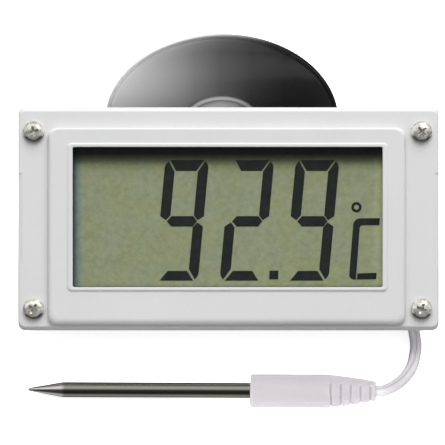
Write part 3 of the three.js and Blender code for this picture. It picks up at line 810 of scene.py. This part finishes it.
def corner_screws():
    screws = []
    for place, turn in SCREW_TURNS.items():
        u = -SCREW_U if "left" in place else SCREW_U
        v = SCREW_TOP if "upper" in place else SCREW_BOTTOM
        matrix = screw_matrix(u, v) @ Matrix.Rotation(math.radians(turn), 4, "X")
        obj = screw_mesh(f"pan_screw_{place}", matrix)
        screws.append(stands_for(obj, "case", f"corner_screw_{place}", slot="screw_steel"))
    return screws


# ------------------------------------------------------------------ suction cup
LIP_SPARE = 0.6  # the lip's turned edge stays this far inside the cup's box


def suction_cup():
    """The cup's thin dish, ringed hub, neck and button; heights run from the lip towards the case."""
    radius = (CUP_HIGH.x - CUP_LOW.x) / 2 / MM - LIP_SPARE
    profile = [
        (0, 0.7), (10, 0.7), (20, 0.5), (27, 0.28), (29.5, 0.16), (31.2, 0.02), (31.6, 0), (32.6, 0),
        (33.1, 0.06), (radius, 0.3), (radius - 0.02, 0.5), (radius - 0.12, 0.7), (radius - 0.35, 0.82),
        (radius - 0.6, 0.82), (radius - 0.75, 0.74), (radius - 0.85, 0.72), (32.25, 0.84), (32.1, 0.8),
        (32.02, 0.68), (31.9, 0.68), (31.78, 0.88), (31.5, 0.96), (28, 1.12), (20, 1.45), (13.2, 1.8),
        (12.3, 1.84), (12.0, 1.75), (11.8, 1.55), (11.5, 1.5), (11.25, 1.62), (11.0, 1.88), (10.7, 2.05),
        (10.2, 2.06), (9.9, 1.9), (9.5, 1.86), (6.4, 2.0), (6.1, 2.1), (5.95, 2.5), (5.8, 3.65), (5.6, 3.8),
        (2.8, 3.8), (2.6, 4.0), (2.6, 5.9), (4.0, 5.9), (4.2, 6.05), (4.1, 6.4), (3.6, 6.95), (3.2, 7.12),
        (0, 7.2),
    ]
    place = Vector((CUP_AXIS.x, CUP_HIGH.y, CUP_AXIS.z))
    matrix = Matrix.Translation(place) @ Matrix.Rotation(-math.pi / 2, 4, "Z")
    obj = finished("cup_moulding", to_mesh(turned(profile, 128), "cup_moulding", matrix), "cup", 50)
    return stands_for(obj, "cup", "suction_cup", slot="cup_rubber")


# ------------------------------------------------------------------ probe
HANDLE_RADIUS, HANDLE_TAIL, HANDLE_BIG, HANDLE_LENGTH = 4.45, 2.6, 20.3, 33.9
FRONT_U = 6.3  # where the handle's front face is across the picture
DROOP = (HANDLE_RADIUS - TUBE_RADIUS) / (TIP_REACH - CONE)  # the tube slopes down until it meets the table
SOCKET = 10.2  # how far the tube reaches into the handle
HANDLE_ROLL = -35  # turns the strain relief's spine towards the back
SLOTS, SLOT_FIRST, SLOT_PITCH, SLOT_DEPTH = 5, 1.45, 2.68, 0.4


def probe_matrix():
    """The probe's own X axis, from its tip to its tail, as it lies on the table."""
    along = Vector((math.sqrt(1 - 2 * DROOP * DROOP), -DROOP, DROOP))
    front = Vector((FRONT_U * MM, probe_y(), TABLE + HANDLE_RADIUS * MM))
    return Matrix.Translation(front) @ Vector((1, 0, 0)).rotation_difference(along).to_matrix().to_4x4()


def probe_y():
    """The handle's front face lies this far forward, worked out from the handle's box."""
    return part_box("probe_handle")[1].y - HANDLE_RADIUS * MM * math.sqrt(1 - DROOP * DROOP)


def step(x, low, high):
    """A smooth rise from 0 at low to 1 at high."""
    t = min(1.0, max(0.0, (x - low) / (high - low)))
    return t * t * (3 - 2 * t)


def handle_radius(x):
    if x <= HANDLE_BIG:
        return HANDLE_RADIUS
    t = (x - HANDLE_BIG) / (HANDLE_LENGTH - HANDLE_BIG)
    return HANDLE_RADIUS - (HANDLE_RADIUS - HANDLE_TAIL) * (0.35 * t * t + 0.65 * t)


def groove(x, angle):
    """How deep the strain relief's slots are at a point; a spine along its length stays whole."""
    spine = step(abs(angle), math.radians(44), math.radians(56))
    depth = 0
    for i in range(SLOTS):
        centre = HANDLE_BIG + SLOT_FIRST + i * SLOT_PITCH
        depth = max(depth, 1 - step(abs(x - centre), 0.14, 0.36))
    return depth * spine * SLOT_DEPTH


def probe_handle():
    """The handle with its socket for the tube, a plain barrel and a slotted, tapering strain relief."""
    sides, fine = 120, 130
    bm = bmesh.new()
    ease = {0.0: 0.42, 0.06: 0.2, 0.2: 0.06}  # how far the front edge is rounded in, by depth
    stations = [*ease, 0.45]
    stations += [0.45 + (HANDLE_BIG - 0.45) * i / 10 for i in range(1, 11)]
    stations += [HANDLE_BIG + (HANDLE_LENGTH - 0.35 - HANDLE_BIG) * i / fine for i in range(1, fine + 1)]
    rings = [[bm.verts.new((SOCKET * MM, 0, 0))]]

    def ring(x, radius_at):
        made = []
        for i in range(sides):
            angle = math.pi * 2 * i / sides - math.pi
            radius = radius_at(angle)
            made.append(bm.verts.new((x * MM, radius * MM * math.sin(angle), radius * MM * math.cos(angle))))
        return made

    rings.append(ring(SOCKET, lambda a: TUBE_RADIUS + 0.05))
    rings.append(ring(0.15, lambda a: TUBE_RADIUS + 0.05))
    rings.append(ring(0.0, lambda a: TUBE_RADIUS + 0.2))
    for x in stations:
        rings.append(ring(x, lambda a, x=x: handle_radius(x) - ease.get(x, 0) - groove(x, a)))
    rings.append(ring(HANDLE_LENGTH - 0.12, lambda a: HANDLE_TAIL - 0.1))
    rings.append(ring(HANDLE_LENGTH, lambda a: HANDLE_TAIL - 0.35))
    rings.append([bm.verts.new((HANDLE_LENGTH * MM, 0, 0))])
    skin(bm, rings)
    matrix = probe_matrix() @ Matrix.Rotation(math.radians(HANDLE_ROLL), 4, "X")
    obj = finished("handle_moulding", to_mesh(bm, "handle_moulding", matrix), "handle", 50)
    return stands_for(obj, "case", "probe_handle", slot="handle_white")


# ------------------------------------------------------------------ cord
# The cord's middle line about the plate's middle, the same points as in the CAD source.
CORD_ROUTE = [
    (51.8, -9.12, -28.07), (51.8, -10.32, -29.27), (51.85, -11.5, -30.4), (52.0, -12.8, -31.3),
    (52.2, -14.3, -31.85), (52.35, -15.9, -32.03), (52.35, -17.6, -32.03), (52.2, -19.4, -32.03),
    (51.9, -21.2, -32.03), (51.27, -24.18, -32.03), (50.52, -26.28, -31.99), (49.55, -28.28, -31.81),
    (48.4, -30.3, -31.39), (47.14, -32.32, -30.7), (45.83, -34.24, -29.83), (44.47, -36.02, -28.88),
    (43.16, -37.44, -28.03), (41.9, -38.39, -27.44), (40.85, -38.67, -27.24),
]
CORD_EXIT = 2  # the point where it comes out of the grommet
CORE_RADIUS, CORE_OFFSET = 1.15, 0.45  # of each of its two cores
CORD_ROLL = -14  # how far the flat of the cord is rolled as it leaves the case
CORD_TUCK = 1.6  # how far it reaches into the handle's tail


def smooth_line(points, per_span):
    """A Catmull-Rom curve through the points."""
    line = []
    ends = [points[0] * 2 - points[1]] + points + [points[-1] * 2 - points[-2]]
    for a, b, c, d in zip(ends, ends[1:], ends[2:], ends[3:]):
        for i in range(per_span):
            t = i / per_span
            line.append(0.5 * ((2 * b) + (c - a) * t + (2 * a - 5 * b + 4 * c - d) * t * t
                               + (3 * b - a - 3 * c + d) * t ** 3))
    return line + [points[-1]]


def twin_section(sides=14):
    """Two cores side by side, as (sideways, up) points round the outline."""
    half = []
    limit = math.acos(min(1.0, CORE_OFFSET / CORE_RADIUS)) * 0.86
    for i in range(sides + 1):
        angle = -(math.pi - limit) + 2 * (math.pi - limit) * i / sides
        half.append((CORE_OFFSET + CORE_RADIUS * math.cos(angle), CORE_RADIUS * math.sin(angle)))
    return half + [(-x, -y) for x, y in half]


def probe_cord():
    """The flat twin cord, from inside the case to inside the handle's tail."""
    points = [Vector(p) * MM + CENTRE for p in CORD_ROUTE]
    inward = (probe_matrix().to_3x3() @ Vector((-1, 0, 0))).normalized()
    points.append(points[-1] + inward * CORD_TUCK * MM)
    line = smooth_line(points, 5)
    section = twin_section()
    bm = bmesh.new()
    rings = []
    for i, point in enumerate(line):
        ahead = (line[min(i + 1, len(line) - 1)] - line[max(i - 1, 0)]).normalized()
        across = ahead.cross(Vector((0, 0, 1))).normalized()
        roll = Matrix.Rotation(math.radians(CORD_ROLL * (1 - step(i / len(line), 0.15, 0.6))), 3, ahead)
        across, over = roll @ across, roll @ across.cross(ahead)
        rings.append([bm.verts.new(point + (across * x + over * y) * MM) for x, y in section])
    skin(bm, rings)
    bm.faces.new(rings[0])
    bm.faces.new(list(reversed(rings[-1])))
    obj = finished("twin_cord", to_mesh(bm, "twin_cord"), "cord", 60)
    stands_for(obj, "case", "probe_cord", slot="cord_white")
    length = sum((b - a).length for a, b in zip(line, line[1:]))
    tuple(points[CORD_EXIT])
    [tuple(p) for p in line]
    return obj


# ------------------------------------------------------------------ stage and lights
FLOOR_SIZE = 2.5  # metres from its middle to its edge
FLOOR_BOUNCE, FLOOR_GLOW = 0.3, 0.8
# The table's sheen as shiny pieces mirror it, from looking straight down to skimming along it.
FLOOR_MIRRORED = greys((0.0, 0.33), (0.15, 0.45), (0.41, 0.3), (0.71, 0.07), (1.0, 0.02))


def floor_material():
    """Pale to the camera. What it bounces is damped, as on a stage ringed with dark cloth, but for a strip
    beside the probe.
    """
    s = Shader("pale_table")
    s.set(Roughness=0.9, Specular_IOR_Level=0.0, Base_Color=(0.9, 0.9, 0.9, 1))
    path = s.add("ShaderNodeLightPath").outputs
    from_probe = s.add("ShaderNodeVectorMath", operation="MULTIPLY_ADD")
    from_probe.inputs[1].default_value = (0.3, 1, 0)
    from_probe.inputs[2].default_value = (0, -probe_y() + 9 * MM, 0)
    s.link(s.place, from_probe.inputs[0])
    near = s.ramp(s.length(from_probe.outputs["Vector"]), greys((0.014, 1), (0.02, FLOOR_BOUNCE)))
    wide = s.ramp(s.length(s.place), greys((0.09, 1), (0.3, 0.08)))
    mirrored = s.ramp(s.add("ShaderNodeLayerWeight").outputs["Facing"], FLOOR_MIRRORED)
    dim = s.add("ShaderNodeBsdfDiffuse")
    s.link(s.mixed(path["Is Glossy Ray"], s.product(near, wide), mirrored), dim.inputs["Color"])
    glow = s.add("ShaderNodeEmission")
    glow.inputs["Strength"].default_value = FLOOR_GLOW
    bright = s.add("ShaderNodeAddShader")
    s.link(s.bsdf.outputs["BSDF"], bright.inputs[0])
    s.link(glow.outputs["Emission"], bright.inputs[1])
    either = s.add("ShaderNodeMixShader")
    s.link(path["Is Camera Ray"], either.inputs["Fac"])
    s.link(dim.outputs["BSDF"], either.inputs[1])
    s.link(bright.outputs["Shader"], either.inputs[2])
    s.link(either.outputs["Shader"], s.output.inputs["Surface"])
    return s.material


def floor():
    bm = bmesh.new()
    bmesh.ops.create_grid(bm, x_segments=1, y_segments=1, size=FLOOR_SIZE)
    mesh = bpy.data.meshes.new("table_top")
    bm.to_mesh(mesh)
    bm.free()
    obj = bpy.data.objects.new("table_top", mesh)
    obj.location.z = TABLE - 0.1 * MM
    bpy.context.scene.collection.objects.link(obj)
    mesh.materials.append(floor_material())


def area_light(name, place, aim, size, energy, only=(), mirrored=False):
    """A softbox that lights everything, or only some pieces. Unless it is mirrored, shiny pieces see only the
    room's gradient. Places and sizes are in metres.
    """
    data = bpy.data.lights.new(name, "AREA")
    data.shape = "RECTANGLE"
    data.size, data.size_y = size
    data.energy = energy
    obj = bpy.data.objects.new(name, data)
    bpy.context.scene.collection.objects.link(obj)
    obj.location = place
    obj.rotation_euler = (Vector(aim) - Vector(place)).to_track_quat("-Z", "Y").to_euler()
    obj.visible_glossy = mirrored
    if only:
        lit = bpy.data.collections.new(f"{name}_lights")
        for piece in only:
            lit.objects.link(piece)
        obj.light_linking.receiver_collection = lit


# The room's brightness at angles up from the front, over the top and down the back: what shiny surfaces
# mirror, and the softer light that all surfaces get.
MIRRORED = [(-180, 0.08), (-10, 0.03), (20, 0.04), (36, 0.05), (47, 0.11), (56, 0.37), (64, 0.66), (78, 0.88),
            (95, 0.74), (112, 0.56), (126, 0.2), (138, 0.05), (180, 0.03)]
FILL = [(-180, 0.12), (-10, 0.12), (20, 0.36), (50, 0.72), (90, 0.8), (140, 0.5), (180, 0.25)]


def room():
    """A world that is brighter overhead, with one gradient to light things and another to be mirrored."""
    world = bpy.data.worlds.new("room")
    world.use_nodes = True
    tree = world.node_tree

    def add(kind, *inputs, **values):
        """A node, its settings, and what is linked to its inputs in turn."""
        node = tree.nodes.new(kind)
        for key, value in values.items():
            setattr(node, key, value)
        for target, source in zip(node.inputs, inputs):
            tree.links.new(source, target)
        return node

    def banded(source, levels):
        ramp = add("ShaderNodeValToRGB", source)
        elements = ramp.color_ramp.elements
        while len(elements) < len(levels):
            elements.new(0.5)
        for element, (degrees, level) in zip(elements, levels):
            element.position = (degrees + 180) / 360
            element.color = (level, level, level, 1)
        return add("ShaderNodeBackground", ramp.outputs["Color"]).outputs["Background"]

    split = add("ShaderNodeSeparateXYZ", add("ShaderNodeTexCoord").outputs["Generated"])
    front = add("ShaderNodeMath", split.outputs["Y"], operation="MULTIPLY")
    front.inputs[1].default_value = -1
    angle = add("ShaderNodeMath", split.outputs["Z"], front.outputs["Value"], operation="ARCTAN2")
    along = add("ShaderNodeMapRange", angle.outputs["Value"])
    along.inputs["From Min"].default_value = -math.pi
    along.inputs["From Max"].default_value = math.pi
    path = add("ShaderNodeLightPath").outputs
    around = along.outputs["Result"]
    unseen = add("ShaderNodeMixShader", path["Is Glossy Ray"], banded(around, FILL), banded(around, MIRRORED))
    backdrop = add("ShaderNodeBackground")
    backdrop.inputs["Color"].default_value = (1, 1, 1, 1)
    either = add("ShaderNodeMixShader", path["Is Camera Ray"], unseen.outputs["Shader"],
                 backdrop.outputs["Background"])
    tree.links.new(either.outputs["Shader"], tree.nodes["World Output"].inputs["Surface"])
    bpy.context.scene.world = world


def lights():
    """One broad overhead softbox, small ones for the white probe, its cord and the screws, and the room."""
    area_light("overhead", (0.12, 0.22, 1.2), (0, 0, 0.02), (0.9, 0.9), 15)
    area_light("low_fill", (0.02, -0.55, 0.03), (0.02, probe_y(), 0.01), (0.5, 0.05), 2.7, (HANDLE, CORD))
    area_light("screw_glint", (0.2, -0.04, 0.5), (0, 0, 0.03), (0.13, 0.13), 0.7, SCREWS, True)
    area_light("cord_fill", (0.1, -0.5, 0.5), (0.05, -0.03, 0), (0.3, 0.3), 4.2, (CORD,))
    room()


def dress_nodes():
    """Materials for the CAD pieces that are shown as they are."""
    looks = {
        "display": ["lcd_glass"], "lens": ["window_lens"],
        "board": ["circuit_board"], "battery": ["battery_cell"],
        "seal": ["bezel_gasket", "cable_grommet"], "zebra": ["zebra_strip_upper", "zebra_strip_lower"],
        "black": ["lcd_frame", "lcd_reflector", "display_driver", "filter_capacitor"],
        "ceramic": ["bias_resistor", "thermistor_bead"],
        "red": ["battery_lead_red"], "lead_black": ["battery_lead_black"],
        "cord": ["sensor_lead_left", "sensor_lead_right"], "probe": ["probe_tube"],
        "steel": ["timing_crystal", "hinge_pin", "pin_clip", "battery_contact_plus", "battery_contact_minus",
                  "battery_spring", "thermistor_lead_left", "thermistor_lead_right", "bracket_screw_left",
                  "bracket_screw_right"] + [f"board_screw_{i}" for i in range(1, 5)],
    }
    for look, names in looks.items():
        for name in names:
            nodes[name].data.materials.clear()
            nodes[name].data.materials.append(MATERIALS[look])


HANDLE = probe_handle()
CORD = probe_cord()
dress_nodes()
front_bezel()
display_reading()
SCREWS = corner_screws()
suction_cup()
softened("rear_case", "case", 0.5, 3)
softened("battery_door", "door", 0.15, 2)
softened("hinge_bracket", "case", 0.25, 2)
softened("swivel_arm", "arm", 0.3, 3)
floor()
lights()
bpy.context.scene.view_settings.view_transform = "Standard"
